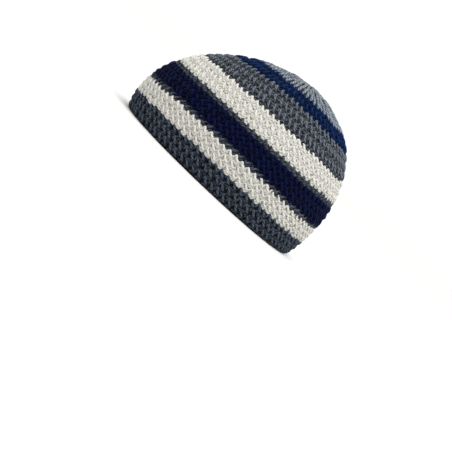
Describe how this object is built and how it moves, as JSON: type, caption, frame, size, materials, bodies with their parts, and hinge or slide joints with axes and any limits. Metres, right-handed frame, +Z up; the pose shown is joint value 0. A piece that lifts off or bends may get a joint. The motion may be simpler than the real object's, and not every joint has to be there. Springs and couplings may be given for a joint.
{
  "type": "striped crocheted nightcap",
  "caption": "Close-fitting crocheted skull cap in navy, white and grey stripes, open underneath, resting on its rim.",
  "frame": {"origin": "on the ground under the middle of the cap's box", "axes": "+Z up, forehead faces -Y, nape faces +Y, left ear faces +X"},
  "size_m": [0.154, 0.1873, 0.1152],
  "materials": {
    "charcoal_yarn": "matt spun yarn, single crochet",
    "white_yarn": "matt spun yarn, single crochet",
    "slate_yarn": "matt spun yarn, single crochet",
    "navy_yarn": "matt spun yarn, single crochet",
    "blue_navy_yarn": "matt spun yarn, tall single crochet",
    "grey_yarn": "matt spun yarn, single crochet",
    "silver_yarn": "matt spun yarn, tall crochet posts"
  },
  "bodies": {
    "root": {"rim_band": "charcoal_yarn", "lower_white_stripe": "white_yarn", "lower_slate_round": "slate_yarn", "navy_stripe": "navy_yarn", "upper_slate_round": "slate_yarn", "upper_white_stripe": "white_yarn", "grey_stripe": "grey_yarn", "thin_navy_stripe": "blue_navy_yarn", "crown": "silver_yarn"}
  },
  "joints": []
}
